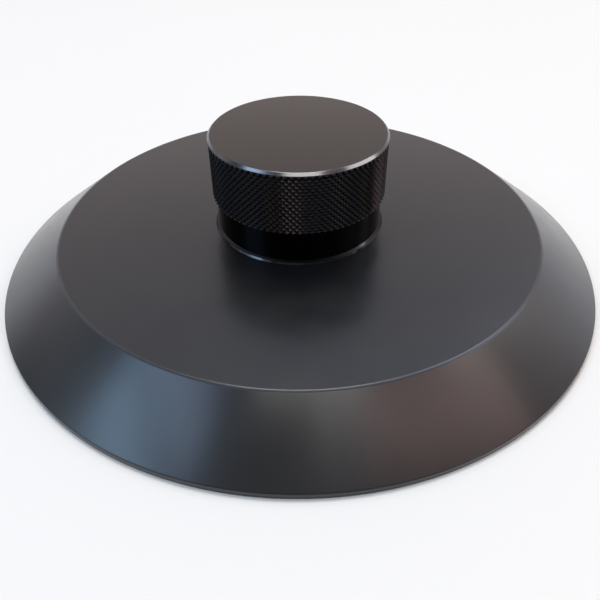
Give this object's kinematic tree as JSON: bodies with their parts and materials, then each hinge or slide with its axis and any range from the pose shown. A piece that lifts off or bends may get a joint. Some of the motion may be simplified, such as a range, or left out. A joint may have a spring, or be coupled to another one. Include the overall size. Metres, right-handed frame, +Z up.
{
  "type": "record weight clamp",
  "caption": "Record clamp: a low conical disc with a knurled knob that draws a split collet up a taper, to grip a turntable spindle and hold the label down.",
  "frame": {"origin": "centre of the disc on the plane of the record's label", "axes": "+Z up along the spindle axis, +X towards the key pin"},
  "size_m": [0.1, 0.1, 0.024],
  "materials": {
    "black_acetal": "fine turned, satin",
    "black_anodised": "black anodised, satin",
    "brass": "turned",
    "dowel_steel": "ground"
  },
  "bodies": {
    "base": {"clamp_disc": "black_acetal", "seat_bush": "black_anodised", "key_pin": "dowel_steel"},
    "knob": {"knob": "black_anodised"},
    "collet": {"collet": "brass"}
  },
  "joints": [
    {"name": "knob_turn", "type": "hinge", "parent": "base", "child": "knob", "pos_m": [0, 0, 0.0163], "axis": [0, 0, 1], "range_deg": [-540, 0]},
    {"name": "collet_lift", "type": "slide", "parent": "base", "child": "collet", "axis": [0, 0, 1], "range_m": [0, 0.0015]}
  ],
  "couplings": [
    {"joint": "collet_lift", "follows": "knob_turn", "m_per_rad": -0.00015915}
  ]
}
